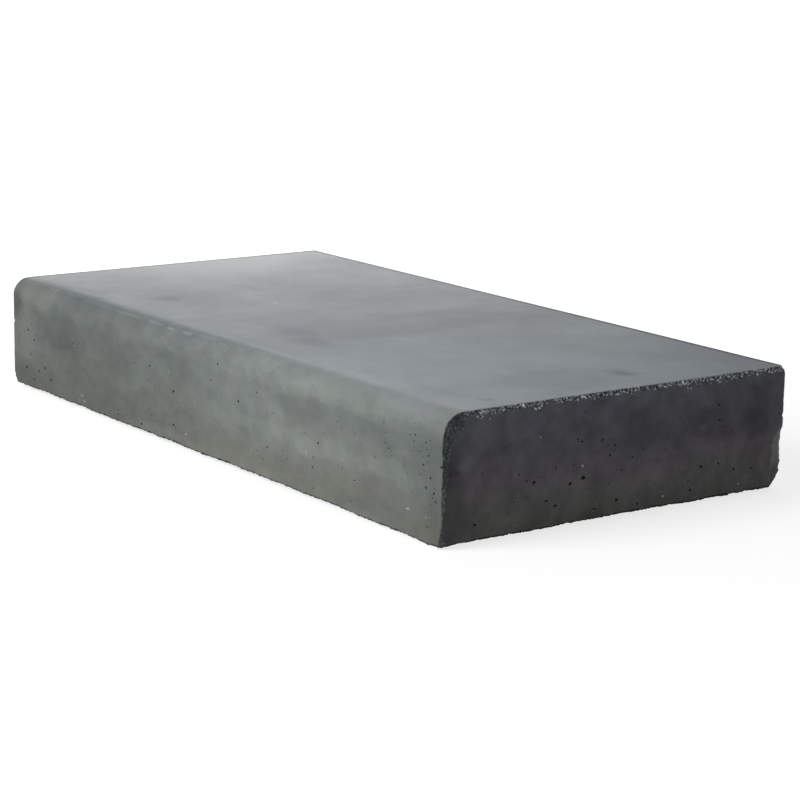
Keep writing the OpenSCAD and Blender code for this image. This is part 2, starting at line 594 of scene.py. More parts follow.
print("mould-faced paste in linear light:", [round(part, 3) for part in linear("70746e")[:3]])

# %% [markdown]
# ## Paste, sand and stones
#
# Concrete is cement paste with sand and stones in it. Where a mould pressed on it, only paste shows, cloudy
# because water and air moved about under the mould before it set. Where the skin is gone, sand shows. These
# steps are shared: patterns that make a colour lighter and darker, soft marks at listed places, sand of
# about 2 mm and the last node of every finish.

# % Tones from patterns, and places along an axis
EVEN, SOFT_EDGE, CRISP_EDGE = (1, 1, 1), 0.2, 0.035


def tone_of(tree, place, patterns, tone=1.0):
    """Adds up patterns: size, the most each lightens or darkens, stretch and softness of edge."""
    for millimetres, most, stretch, softness in patterns:
        drawn = add(tree, "Mapping", {"Vector": place, "Scale": stretch})
        noise = add(tree, "TexNoise", {"Vector": drawn, "Scale": per_metre(millimetres), "Detail": 3})
        source = {"Value": noise, "From Min": 0.5 - softness, "From Max": 0.5 + softness}
        ends = {**source, "To Min": -most, "To Max": most}
        tone = add(tree, "Math", {0: add(tree, "MapRange", ends), 1: tone})
    return tone


def times(tree, tone, steps, value):
    """Multiplies a tone by the tones that a value picks from the steps."""
    stops = [(position, [factor / 2] * 3 + [1]) for position, factor in steps]
    halved = add(tree, "ValToRGB", {"Fac": value}, stops)
    doubled = add(tree, "Math", {0: halved, 1: 2.0}, operation="MULTIPLY")
    return add(tree, "Math", {0: tone, 1: doubled}, operation="MULTIPLY")


def between(tree, place, axis, start, end):
    """Rises from 0 at one place along an axis to 1 at another, in millimetres."""
    value = add(tree, "SeparateXYZ", {"Vector": place}).outputs[axis]
    return add(tree, "MapRange", {"Value": value, "From Min": start * MM, "From Max": end * MM})


print(f"a pattern of 2 mm takes a scale of {per_metre(2):.0f} in a node")


# % Marks at listed places
def marks_on(side, rows):
    """Marks in space from rows on one side: two places, two half sizes, strength and colour.

    A row may end with how far inwards its mark lies and with its half size that way.
    """
    axis, level, thickness = side
    marks = []
    for across, up, half_across, half_up, strength, code, *inwards in rows:
        inward, half_inward = inwards or (0, thickness)
        middle, half_sizes = [across, up], [half_across, half_up]
        middle.insert(axis, level + inward)
        half_sizes.insert(axis, half_inward)
        marks.append((middle, half_sizes, strength, code))
    return marks


def laid_on(tree, place, colour, marks, rim=0.35, fade=0.9):
    """Lays marks over a colour. Each holds its strength out to the rim, and then fades."""
    for middle, half_sizes, strength, code in marks:
        away = {0: place, 1: Vector(middle) * MM}
        away = add(tree, "VectorMath", away, operation="SUBTRACT")
        share = add(tree, "VectorMath", {0: away, 1: Vector(half_sizes) * MM}, operation="DIVIDE")
        reach = add(tree, "VectorMath", {0: share}, operation="LENGTH").outputs["Value"]
        ends = {"From Min": rim, "From Max": rim + fade, "To Min": strength, "To Max": 0.0}
        soft = add(tree, "MapRange", {"Value": reach, **ends}, interpolation_type="SMOOTHSTEP")
        colour = add(tree, "Mix", {"Factor": soft, "A": colour, "B": linear(code)}, data_type="RGBA")
    return colour


trial_mark = marks_on((2, RISE, 20), [(-100, 50, 40, 30, 0.2, "4c545a")])[0]
print(f"a mark on the tread: its middle is at {trial_mark[0]}, its half sizes are {trial_mark[1]}")

# % Dots, tints and wavy edges
DOT_HEART = 0.6
TINT_STOPS = (0.42, 0.58)
PINKISH, GREENISH = "fffcfd", "fbfffc"


def dotted(tree, place, colour, apart, width, strength, code):
    """Scatters small dots over a colour: how far apart and how wide they are, in millimetres."""
    cells = add(tree, "TexVoronoi", {"Vector": place, "Scale": per_metre(apart)})
    rim = width / 2 / apart
    fade = {"From Min": rim, "From Max": rim * DOT_HEART, "To Min": 0.0, "To Max": strength}
    chance = add(tree, "SeparateColor", {"Color": cells.outputs["Color"]})
    faint = {0: add(tree, "MapRange", {"Value": cells, **fade}), 1: chance}
    share = add(tree, "Math", faint, operation="MULTIPLY")
    return add(tree, "Mix", {"Factor": share, "A": colour, "B": linear(code)}, data_type="RGBA")


def tinted(tree, place, colour, millimetres, codes):
    """Leans a colour towards one tint or the other, in patches of about that size."""
    noise = add(tree, "TexNoise", {"Vector": place, "Scale": per_metre(millimetres), "Detail": 3})
    stops = [(at, linear(code)) for at, code in zip(TINT_STOPS, codes)]
    tints = add(tree, "ValToRGB", {"Fac": noise}, stops)
    return add(tree, "VectorMath", {0: colour, 1: tints}, operation="MULTIPLY")


def strayed(tree, place, millimetres, most):
    """Places shifted to and fro by noise, so that what is drawn there has wavy edges."""
    noise = add(tree, "TexNoise", {"Vector": place, "Scale": per_metre(millimetres), "Detail": 4})
    middle = (-0.5, -0.5, -0.5)
    shift = add(tree, "VectorMath", {0: noise.outputs["Color"], 1: middle})
    shift = add(tree, "VectorMath", {0: shift, "Scale": 2 * most * MM}, operation="SCALE")
    return add(tree, "VectorMath", {0: place, 1: shift})


print(f"a tint takes up to {1 - min(linear(PINKISH) + linear(GREENISH)):.1%} off a colour")

# % Sand and stones
# Between the grains a shade is painted: they darken from this share of their size outwards, down to that
# brightness in the gaps
GAP_FROM, GAP_TO, GAP_SHADE_BRIGHTNESS = 0.35, 0.8, 0.4


def sand_in(tree, place, millimetres, steps):
    """Colour and height of sand or stones of that size, with a painted shade in the gaps between them."""
    grains = add(tree, "TexVoronoi", {"Vector": place, "Scale": per_metre(millimetres)})
    chance = add(tree, "SeparateColor", {"Color": grains.outputs["Color"]})
    shades = add(tree, "ValToRGB", {"Fac": chance}, [(at, linear(code)) for at, code in steps])
    gap_shade = {"From Min": GAP_FROM, "From Max": GAP_TO, "To Min": 1.0, "To Max": GAP_SHADE_BRIGHTNESS}
    shaded = {0: shades, "Scale": add(tree, "MapRange", {"Value": grains, **gap_shade})}
    colour = add(tree, "VectorMath", shaded, operation="SCALE")
    return colour, add(tree, "Math", {0: 1.0, 1: grains}, operation="SUBTRACT")


print(f"a gap between grains has {GAP_SHADE_BRIGHTNESS:.0%} of their brightness")


# % The first and the last step of a finish
def new_finish(name):
    """An empty finish: the material, its nodes and places on the block in metres."""
    finish = bpy.data.materials.new(name)
    finish.use_nodes = True
    finish.node_tree.nodes.clear()
    place = add(finish.node_tree, "TexCoord").outputs["Object"]
    return finish, finish.node_tree, place


def end_finish(tree, colour, roughness, height, depth_mm, shine):
    """The shader of a concrete finish, with relief of that depth."""
    relief = add(tree, "Bump", {"Height": height, "Distance": depth_mm * MM})
    skin = {"Base Color": colour, "Roughness": roughness, "Normal": relief}
    constants = {"IOR": 1.5, "Specular IOR Level": shine}
    shader = add(tree, "BsdfPrincipled", {**skin, **constants})
    add(tree, "OutputMaterial", {"Surface": shader})


print(f"{len(bpy.data.materials)} materials came with the model")

# %% The worn edges that two finishes share
# The sand is really about 1 mm wide. It is drawn twice as wide, so that it still shows.
SAND_MM_SHOWN = 2.1
SAND_STEPS = ((0.0, "2f3336"), (0.35, "51575a"), (0.62, "797e81"), (0.84, "a9adb0"), (0.95, "dcdee0"))
# The sand up the front arris and round the nose is mixed towards one darker grey, and the sand along the
# top is lighter in places. The mixing grows from the first to the second of these, down from the tread and
# out to the front.
MUTED_SAND_CODE, MUTED_SAND_MOST = "474d4d", 0.82
MUTED_BELOW_TREAD, MUTED_BEHIND_FRONT = (8, 20), (38, 27)
LIGHTER_SAND_BRIGHTNESS, LIGHTER_SAND_PLACES = ((0.36, 1.15), (0.5, 1.6), (0.62, 2.1)), 24
SAND_DEPTH, RIPPLE_SHARE = 0.6, 0.16
LIP_SHADE_CODE = "1a1b1a"
FLAKED_CODE, FLAKED_FROM, FLAKED_TO = "8e8e91", 26, 38


def worn_edges(tree, place, colour, ripple_mm):
    """Lays the flake, open sand and a painted shade on the ragged lip over a colour, and gives their
    height.
    """
    flaked = add(tree, "Attribute", attribute_name="flaked").outputs["Fac"]
    above_break = between(tree, strayed(tree, place, 12, 5), "Z", FLAKED_FROM, FLAKED_TO)
    clean = add(tree, "Math", {0: flaked, 1: above_break}, operation="MULTIPLY")
    flake = {"Factor": clean, "A": colour, "B": linear(FLAKED_CODE)}
    colour = add(tree, "Mix", flake, data_type="RGBA")
    uneven_place = strayed(tree, place, 3, 1.4)
    sand, sand_height = sand_in(tree, uneven_place, SAND_MM_SHOWN, SAND_STEPS)
    patches = {"Vector": place, "Scale": per_metre(LIGHTER_SAND_PLACES), "Detail": 2}
    in_places = add(tree, "TexNoise", patches)
    brightness = times(tree, 1.0, LIGHTER_SAND_BRIGHTNESS, in_places)
    sand = add(tree, "VectorMath", {0: sand, "Scale": brightness}, operation="SCALE")
    up_front = between(tree, place, "Z", *[RISE - below for below in MUTED_BELOW_TREAD])
    behind_front = [-DEPTH / 2 + behind for behind in MUTED_BEHIND_FRONT]
    round_nose = between(tree, place, "Y", *behind_front)
    darkened = add(tree, "Math", {0: up_front, 1: round_nose}, operation="MAXIMUM")
    darkened = add(tree, "Math", {0: darkened, 1: MUTED_SAND_MOST}, operation="MULTIPLY")
    darkening = {"Factor": darkened, "A": sand, "B": linear(MUTED_SAND_CODE)}
    sand = add(tree, "Mix", darkening, data_type="RGBA")
    open_grain = add(tree, "Attribute", attribute_name="open_grain").outputs["Fac"]
    colour = add(tree, "Mix", {"Factor": open_grain, "A": colour, "B": sand}, data_type="RGBA")
    # The ragged lip of the bed is painted near black: a painted shade, since it faces down.
    ragged = add(tree, "Attribute", attribute_name="ragged").outputs["Fac"]
    lip = {"Factor": ragged, "A": colour, "B": linear(LIP_SHADE_CODE)}
    colour = add(tree, "Mix", lip, data_type="RGBA")
    ripple = add(tree, "TexNoise", {"Vector": place, "Scale": per_metre(ripple_mm), "Detail": 4})
    low = add(tree, "Math", {0: ripple, 1: RIPPLE_SHARE}, operation="MULTIPLY")
    height = add(tree, "Mix", {"Factor": open_grain, "A": low, "B": sand_height}, data_type="FLOAT")
    return colour, height, open_grain


print(f"sand of {SAND_MM_SHOWN} mm in {len(SAND_STEPS)} shades")

# %% [markdown]
# ## Steel-moulded concrete
#
# The tread, the bullnose and the long faces were cast against oiled steel. That gives the densest skin: a
# satin paste, bluish on the tread and greener round the nose and down the front. The blue of the tread is a
# painted reflection of the sky. It reflects like eggshell at a low angle. The clouds are 100 to 200 mm
# across and run out in bands where one barrow of the mix met the next. Towards the far left the tread is
# lightened, in part as a painted sheen, and at the rear right it is darkened by a painted shade. Stains are
# listed one by one, since each block has its own.

# %% Marks on the tread: from the middle along and across, half sizes, strength, colour
# A side is its axis, where it lies on that axis and how far a mark reaches off it either way.
TREAD_SIDE = (2, RISE, 20)
TREAD_MARKS = marks_on(TREAD_SIDE, (
    (300, -70, 190, 150, 0.55, "64727a"),
    # The next two rows lighten the far left; in part this is a painted sheen.
    (-505, 0, 85, 400, 0.80, "777a7b"),
    (-470, 130, 110, 230, 0.20, "a9a9aa"),
    # This row is a painted shade at the rear right, where the sheen falls off.
    (520, 250, 200, 100, 0.30, "3d4043"),
    (255, 190, 130, 90, 0.16, "a0a6aa"),
    (-360, -130, 190, 120, 0.33, "3e4347"),
    (-272, -95, 46, 120, 0.26, "3e4347"),
    (-90, -222, 430, 22, 0.18, "565d60"),
    (380, -215, 160, 26, 0.30, "8b9296"),
    (-470, 20, 50, 80, 0.16, "585b5c"),
    (75, 0, 50, 150, 0.20, "4f565b"),
    (-10, -30, 120, 80, 0.12, "4f565b"),
    (-59, 207, 90, 16, 0.12, "56595a"),
    (-375, -213, 140, 13, 0.50, "444a48"),
    (-320, -140, 150, 110, 0.14, "3e4347"),
    (488, -20, 16, 60, 0.16, "8b959b"),
))
STAINS = marks_on(TREAD_SIDE, (
    (26, -132, 52, 36, 0.50, "39434b"),
    (88, -150, 64, 28, 0.44, "39434b"),
    (-256, -150, 23, 28, 0.80, "2f342e"),
    (-266, -116, 22, 28, 0.40, "434840"),
    (431, 58, 33, 22, 0.66, "2d332e"),
    (456, -167, 11, 11, 0.50, "454a4b"),
))
SMEARS = marks_on(TREAD_SIDE, (
    (-470, -40, 158, 250, 0.12, "9a9e9e"),
    (62, 10, 66, 185, 0.14, "4c545a"),
    (76, -30, 46, 46, 0.14, "4c545a"),
    (14, 120, 26, 48, 0.16, "4c545a"),
    (66, 118, 24, 30, 0.12, "4c545a"),
    (412, -30, 44, 100, 0.24, "4c545b"),
    (-166, -38, 7, 3, 0.40, "8f9496"),
    (-156, -46, 7, 3, 0.40, "8f9496"),
))

print(f"{len(TREAD_MARKS)} clouds, {len(SMEARS)} smears and {len(STAINS)} stains on the tread")

# %% The tread's colour
TREAD_PATTERNS = (
    (190, 0.06, EVEN, SOFT_EDGE), (70, 0.05, (1, 0.5, 1), SOFT_EDGE), (24, 0.03, EVEN, SOFT_EDGE),
    (2.4, 0.02, EVEN, SOFT_EDGE), (60, 0.015, (1, 0.6, 1), CRISP_EDGE),
)
# Tones along the tread: bands of the mix, and lighter towards the far left, in part as a painted sheen.
TREAD_LENGTHWAYS = ((0.0, 1.10), (0.3, 0.97), (0.5, 0.93), (0.57, 0.88), (0.7, 0.97), (1.0, 1.03))
steel_moulded, tree, place = new_finish("steel_moulded_concrete")
wavy_place = strayed(tree, place, 70, 18)
lengthways = between(tree, wavy_place, "X", -LENGTH / 2, LENGTH / 2)
tread_tone = times(tree, tone_of(tree, place, TREAD_PATTERNS), TREAD_LENGTHWAYS, lengthways)
# The blue in the tread's paste is a painted reflection of the sky.
tread_paste = {0: linear("6b7277")[:3], "Scale": tread_tone}
tread_colour = add(tree, "VectorMath", tread_paste, operation="SCALE")
tread_colour = laid_on(tree, wavy_place, tread_colour, TREAD_MARKS)
ragged_place = strayed(tree, strayed(tree, place, 42, 20), 10, 5)
tread_colour = laid_on(tree, ragged_place, tread_colour, SMEARS, 0.7, 0.45)
tread_colour = laid_on(tree, ragged_place, tread_colour, STAINS, 0.15, 1.0)
print(f"the tread's colour takes {len(tree.nodes)} nodes")

# %% Marks on the front and round the nose: along and up, half sizes, strength, colour
FRONT_SIDE = (1, -DEPTH / 2, 40)
FRONT_MARKS = marks_on(FRONT_SIDE, (
    (-480, 18, 80, 26, 0.50, "454845"),
    # This row is a dark spot, with a painted shade on the rounded left arris beside it.
    (-490, 117, 25, 21, 0.62, "3f3f43"),
    (-466, 86, 22, 40, 0.20, "83857a"),
    (240, 66, 150, 16, 0.14, "96988f"),
    (20, 12, 140, 9, 0.15, "93948c"),
    (330, 40, 140, 18, 0.22, "68685b"),
    (150, 30, 110, 22, 0.16, "68685b"),
    (464, 14, 26, 12, 0.20, "66604f"),
    (466, 75, 26, 50, 0.26, "5f6d69"),
    (488, 72, 22, 60, 0.30, "565b58"),
    (228, 103, 64, 17, 0.16, "4f5551"),
    (385, 104, 76, 16, 0.10, "565c58"),
    (-100, 14, 60, 9, 0.16, "8c908a"),
    (-75, 90, 30, 24, 0.12, "8c908a"),
    (60, 105, 90, 18, 0.08, "989e99"),
    # This row is a painted highlight on the nose at the right.
    (430, 146, 90, 10, 0.35, "94999a", 0, 34),
    # These two rows are a painted shade in the groove along the top of the nose.
    (-130, 148, 210, 12, 0.26, "565d5e", 25, 8),
    (-225, 146, 140, 12, 0.35, "4f585b", 22, 9),
    (-230, 70, 46, 40, 0.16, "50544f"),
    (-424, 62, 20, 20, 0.16, "50544f"),
    # These two rows are a painted shade in that groove as well.
    (-376, 149, 92, 12, 0.55, "4a5355", 27, 10),
    (72, 149, 125, 12, 0.62, "4f585b", 26, 9),
))
CRISP_MARKS = marks_on(FRONT_SIDE, (
    (-430, 142, 58, 23, 0.24, "888b80", 2, 20),
    # This row is a painted highlight on the nose at the right.
    (320, 153, 310, 31, 0.13, "a0a6a1", 0, 60),
    (-358, 98, 58, 25, 0.27, "4c5151"),
    (-362, 84, 58, 11, 0.20, "434849"),
    (-340, 77, 50, 7, 0.16, "434849"),
    (275, 108, 150, 14, 0.10, "4f5551"),
    (300, 115, 80, 6, 0.07, "4f5551"),
    (-215, 76, 62, 20, 0.20, "4d524f"),
    (-262, 84, 22, 8, 0.16, "7e827c"),
    (-205, 42, 50, 8, 0.14, "4d524f"),
    (172, 84, 18, 24, 0.14, "9aa09a"),
    (296, 68, 34, 12, 0.12, "9aa09a"),
    (395, 68, 44, 15, 0.18, "9aa09a"),
    (236, 60, 14, 14, 0.16, "a0a69f"),
    (-110, 128, 70, 7, 0.10, "8b908c"),
    (-60, 52, 40, 9, 0.10, "5c605c"),
    (40, 46, 34, 8, 0.10, "5c605c"),
))
SCUFFS_AND_FIN_HIGHLIGHT = marks_on(FRONT_SIDE, (
    (-303, 21, 4.5, 1.7, 0.30, "a9aba3"),
    (-297, 15, 3.4, 1.5, 0.34, "b0b2aa"),
    (-310, 13, 2.6, 1.2, 0.26, "a6a8a0"),
    (-34, 22, 2.0, 1.3, 0.50, "c0c2ba"),
    (236, 54, 0.9, 3.6, 0.36, "c6c8c0"),
    (437, 33, 3.4, 1.0, 0.50, "d0d1c9"),
    (471, 31, 1.3, 1.1, 0.34, "c6c8c0"),
    (476, 31.5, 1.0, 0.9, 0.30, "c6c8c0"),
    # The last rows are not scuffs: they are a painted highlight along the crest of the seam fin on the
    # nose.
    (-280, 146, 40, 3, 0.12, "a2a6a1", 13.5, 1.3),
    (-200, 146, 34, 3, 0.20, "a2a6a1", 13.3, 1.4),
    (-130, 145.6, 22, 3, 0.26, "9ea29d", 13.0, 1.3),
    (-92, 145, 9, 3, 0.32, "a2a6a1", 12.5, 1.5),
    (-52, 145.6, 11, 3, 0.30, "a2a6a1", 13.5, 1.6),
    (30, 146, 9, 3, 0.22, "9ea29d", 14, 1.3),
))

print(f"{len(FRONT_MARKS)} soft and {len(CRISP_MARKS)} crisp marks and {len(SCUFFS_AND_FIN_HIGHLIGHT)} scuffs")

# %% The long faces' colour
FACE_PATTERNS = (
    (120, 0.06, EVEN, SOFT_EDGE), (42, 0.11, EVEN, SOFT_EDGE), (15, 0.08, (0.6, 1, 1), SOFT_EDGE),
    (7, 0.02, (1.5, 1, 0.5), SOFT_EDGE), (5, 0.035, EVEN, SOFT_EDGE), (2.4, 0.04, EVEN, SOFT_EDGE),
    (34, 0.025, (0.7, 1, 1.2), CRISP_EDGE), (13, 0.02, (0.7, 1, 1), CRISP_EDGE),
)
FACE_LENGTHWAYS = (
    (0.03, 0.90), (0.15, 0.80), (0.25, 0.86), (0.35, 0.95), (0.45, 1.01),
    (0.55, 1.16), (0.65, 1.30), (0.75, 1.27), (0.85, 1.19), (0.93, 1.10), (0.98, 0.98),
)
# Tones up the long faces. The darkest last steps, at the top of the nose, are a painted shade.
FACE_BANDS_AND_NOSE_SHADE = (
    (0.06, 0.84), (0.17, 0.80), (0.3, 0.88), (0.43, 0.96), (0.57, 0.91), (0.76, 0.91),
    (0.81, 1.0), (0.9, 0.96), (0.965, 0.91), (0.985, 0.79), (1.0, 0.74),
)
FACE_HUES = ((0.12, "71746e"), (0.4, "707471"), (0.6, "6f7472"), (0.9, "6f7472"), (0.985, "6c7374"))
upwards = between(tree, wavy_place, "Z", 0, RISE)
face_tone = times(tree, tone_of(tree, place, FACE_PATTERNS), FACE_LENGTHWAYS, lengthways)
band_height = between(tree, strayed(tree, place, 60, 5), "Z", 0, RISE)
face_tone = times(tree, face_tone, FACE_BANDS_AND_NOSE_SHADE, band_height)
face_hues = add(tree, "ValToRGB", {"Fac": upwards}, [(at, linear(code)) for at, code in FACE_HUES])
face_colour = add(tree, "VectorMath", {0: face_hues, "Scale": face_tone}, operation="SCALE")
face_colour = laid_on(tree, strayed(tree, place, 22, 7), face_colour, FRONT_MARKS)
face_colour = laid_on(tree, ragged_place, face_colour, CRISP_MARKS, 0.75, 0.35)
face_colour = laid_on(tree, strayed(tree, place, 5, 1.8), face_colour, SCUFFS_AND_FIN_HIGHLIGHT, 0.8, 0.4)
face_colour = tinted(tree, place, face_colour, 34, (PINKISH, GREENISH))
upright_place = add(tree, "Mapping", {"Vector": strayed(tree, place, 9, 3), "Scale": (1.5, 1, 0.6)})
face_colour = dotted(tree, place, face_colour, 26, 2.0, 0.7, "3a3c39")
face_colour = dotted(tree, upright_place, face_colour, 16, 2.6, 0.4, "4e514d")
face_colour = dotted(tree, strayed(tree, place, 7, 4), face_colour, 19, 2.6, 0.45, "a7aba4")
print(f"with the long faces' colour that makes {len(tree.nodes)} nodes")

# %% The steel-moulded finish
# The nose line is where the tread's skin gives way to the greener one round the nose. A painted shade lies
# in a narrow strip along the back and the left edge of the tread, where the arris turns away from the
# light, fading in from the first number to the next.
NOSE_LINE, NOSE_SOFTNESS = -DEPTH / 2 + 34, 3
SKIN_CHANGES = (1.5, 5)
EDGE_SHADE, EDGE_SHADE_FULL, EDGE_SHADE_CODE = 12, 5, "17191a"
DENSE_TONES, DENSE_ROUGHNESS, FACE_ROUGHNESS = (0.85, 1.15), (0.70, 0.62), 0.64
by_nose = strayed(tree, place, 34, 5)
beyond_nose = between(tree, by_nose, "Y", NOSE_LINE + NOSE_SOFTNESS, NOSE_LINE - NOSE_SOFTNESS)
below_tread = between(tree, place, "Z", *[RISE - below for below in SKIN_CHANGES])
face_share = add(tree, "Math", {0: beyond_nose, 1: below_tread}, operation="MAXIMUM")
blend = {"Factor": face_share, "A": tread_colour, "B": face_colour}
colour = add(tree, "Mix", blend, data_type="RGBA")
colour = dotted(tree, place, colour, 40, 2.6, 0.7, "a3a69f")
by_edge = strayed(tree, place, 9, 4)
# Painted shade along the back and the left edge of the tread
at_back = between(tree, by_edge, "Y", DEPTH / 2 - EDGE_SHADE, DEPTH / 2 - EDGE_SHADE_FULL)
at_left = between(tree, by_edge, "X", EDGE_SHADE - LENGTH / 2, EDGE_SHADE_FULL - LENGTH / 2)
in_edge_shade = add(tree, "Math", {0: at_back, 1: at_left}, operation="MAXIMUM")
on_top = between(tree, place, "Z", RISE - 6, RISE - 1)
darkened = add(tree, "Math", {0: in_edge_shade, 1: on_top}, operation="MULTIPLY")
darkening = {"Factor": darkened, "A": colour, "B": linear(EDGE_SHADE_CODE)}
colour = add(tree, "Mix", darkening, data_type="RGBA")
colour, height, open_grain = worn_edges(tree, place, colour, 2.6)

satin = {"Value": tread_tone}
satin["From Min"], satin["From Max"] = DENSE_TONES
satin["To Min"], satin["To Max"] = DENSE_ROUGHNESS
dull = {"Factor": face_share, "A": add(tree, "MapRange", satin), "B": FACE_ROUGHNESS}
roughness = add(tree, "Mix", dull, data_type="FLOAT")
roughness = add(tree, "Math", {0: roughness, 1: open_grain}, operation="MAXIMUM")
end_finish(tree, colour, roughness, height, SAND_DEPTH, 0.25)
print(f"{steel_moulded.name}: {len(tree.nodes)} nodes")

# %% [markdown]
# ## Board-stopped concrete
#
# The ends were closed by loose boards, which leak and drink water. That leaves a dull skin,
# violet-grey above and plain grey towards the bed, with small dark clouds in it and many holes.
# It takes the same steps as the finish before it, with tones and marks of its own. The left end
# gets most of the violet taken out.

# %% Marks on the right end: across and up, half sizes, strength, colour
END_SIDE = (0, LENGTH / 2, 40)
END_MARKS = marks_on(END_SIDE, (
    (200, 112, 64, 30, 0.22, "3f3e47"),
    (200, 86, 30, 22, 0.32, "3d3c46"),
    (-205, 20, 24, 18, 0.18, "4a4a4a"),
    (32, 100, 38, 27, 0.34, "3d3c46"),
    (121, 107, 14, 14, 0.30, "3d3c46"),
    (150, 100, 10, 26, 0.22, "403f48"),
    (146, 84, 30, 16, 0.20, "403f48"),
    (-246, 50, 34, 80, 0.55, "434345"),
    (-243, 80, 8, 15, 0.40, "3a3336"),
    (-176, 128, 44, 24, 0.22, "807e87"),
    (30, 42, 44, 16, 0.30, "8d888c"),
    (-20, 66, 24, 16, 0.18, "86838a"),
    (-100, 22, 60, 12, 0.12, "7d7c78"),
    (60, 12, 40, 8, 0.20, "3f403e"),
    (-43, 12, 8, 5, 0.40, "6e5a55"),
    (-219, 93, 16, 9, 0.20, "8f8a97"),
    (-237, 86, 10, 5, 0.36, "3a3034"),
))
END_CHIPS = marks_on(END_SIDE, (
    (-56.5, 69, 1.5, 1.5, 0.90, "f0f0ee"),
    (64, 17.5, 1.5, 1.5, 0.90, "f0f0ee"),
    (181, 16.5, 1.4, 1.4, 0.60, "d0d0ce"),
    (-117, 109, 1.3, 1.3, 0.60, "c8c8c6"),
    (-151, 71, 1.2, 1.2, 0.45, "b8a8a4"),
    (-150, 39, 1.2, 1.2, 0.45, "b8b8b4"),
))

print(f"{len(END_MARKS)} clouds and {len(END_CHIPS)} specks on the end")

# %% The board-stopped finish
END_PATTERNS = (
    (110, 0.06, EVEN, SOFT_EDGE), (38, 0.15, EVEN, SOFT_EDGE), (15, 0.12, EVEN, SOFT_EDGE),
    (5, 0.05, EVEN, SOFT_EDGE), (2.4, 0.05, EVEN, SOFT_EDGE), (24, 0.035, EVEN, CRISP_EDGE),
)
END_BANDS = (
    (0.08, 1.10), (0.2, 1.11), (0.35, 1.10), (0.47, 1.03), (0.6, 0.97), (0.85, 1.0), (0.95, 1.05),
)
END_HUES = ((0.13, "6c6d6b"), (0.28, "6f6c6f"), (0.45, "706a70"), (0.62, "6b6a73"))
LEFT_END_CODE, LEFT_END_GREYED = "6c6c6b", 0.75
board_stopped, tree, place = new_finish("board_stopped_concrete")
wavy_place = strayed(tree, place, 45, 12)
upwards = between(tree, wavy_place, "Z", 0, RISE)
hue_height = between(tree, strayed(tree, strayed(tree, place, 90, 34), 22, 9), "Z", 0, RISE)
hues = add(tree, "ValToRGB", {"Fac": hue_height}, [(at, linear(code)) for at, code in END_HUES])
at_left = between(tree, place, "X", 0, -1)
greyed = add(tree, "Math", {0: at_left, 1: LEFT_END_GREYED}, operation="MULTIPLY")
greyer = {"Factor": greyed, "A": hues, "B": linear(LEFT_END_CODE)}
hues = add(tree, "Mix", greyer, data_type="RGBA")
tone = times(tree, tone_of(tree, place, END_PATTERNS), END_BANDS, upwards)
colour = add(tree, "VectorMath", {0: hues, "Scale": tone}, operation="SCALE")
colour = laid_on(tree, wavy_place, colour, END_MARKS, 0.5, 0.6)
colour = laid_on(tree, place, colour, END_CHIPS)
colour = tinted(tree, place, colour, 18, (PINKISH, GREENISH))
colour = dotted(tree, place, colour, 46, 2.2, 0.5, "a9aaa8")
colour = dotted(tree, place, colour, 22, 2.2, 0.8, "262627")
colour, height, _ = worn_edges(tree, place, colour, 3)
end_finish(tree, colour, 0.85, height, SAND_DEPTH, 0.15)
print(f"{board_stopped.name}: {len(tree.nodes)} nodes")

# %% [markdown]
# ## Struck-off bed, broken concrete and bubble walls
#
# The bed was the open top of the mould. A board struck it off, so it is rough and a little
# chalky. A break shows grey stones and pale sand in clean paste, and an old one has gone dark.
# The wall of an air bubble is smooth paste. Light hardly gets in, and its near-black colour is a painted
# shade. In some, the lower side, which faces up, is painted pale: a painted light. The bed and the breaks
# have no marks of their own, so one function makes both.

# %% The other concrete finishes
def plain_concrete(name, paste, patterns, shown, millimetres, steps, depth_mm):
    """A rough finish of paste with a share of its sand or stones showing."""
    finish, tree, place = new_finish(name)
    tone = tone_of(tree, place, patterns)
    colour = add(tree, "VectorMath", {0: linear(paste)[:3], "Scale": tone}, operation="SCALE")
    sand, height = sand_in(tree, place, millimetres, steps)
    colour = add(tree, "Mix", {"Factor": shown, "A": colour, "B": sand}, data_type="RGBA")
    end_finish(tree, colour, 0.92, height, depth_mm, 0.2)
    print(f"{name}: {len(tree.nodes)} nodes")
    return finish


BED_STEPS = ((0.0, "55564f"), (0.5, "74756e"), (0.8, "8f8e86"), (0.95, "aaa89f"))
OLD_STEPS = ((0.0, "3a3b3a"), (0.35, "4e4f4d"), (0.65, "636462"), (0.9, "82827e"))
BED_PATTERNS = (
    (140, 0.10, EVEN, SOFT_EDGE), (30, 0.08, (1, 0.3, 1), SOFT_EDGE), (4, 0.06, EVEN, SOFT_EDGE),
)
BREAK_PATTERNS = ((18, 0.14, EVEN, SOFT_EDGE), (3, 0.10, EVEN, SOFT_EDGE))
struck_off = plain_concrete("struck_off_concrete", "7b7c76", BED_PATTERNS, 0.4, 2.6, BED_STEPS, 0.4)
old_break = plain_concrete("old_broken_concrete", "565754", BREAK_PATTERNS, 0.5, 4, OLD_STEPS, 0.5)

bubble_wall, tree, place = new_finish("air_bubble_wall")
facing = add(tree, "NewGeometry").outputs["Normal"]
facing_up = add(tree, "SeparateXYZ", {"Vector": facing}).outputs["Z"]
lower_side = add(tree, "MapRange", {"Value": facing_up, "From Min": 0.05, "From Max": 0.6})
here_or_there = add(tree, "TexNoise", {"Vector": place, "Scale": per_metre(20), "Detail": 1})
lit_patches = add(tree, "MapRange", {"Value": here_or_there, "From Min": 0.47, "From Max": 0.64})
painted_light_share = add(tree, "Math", {0: lower_side, 1: lit_patches}, operation="MULTIPLY")
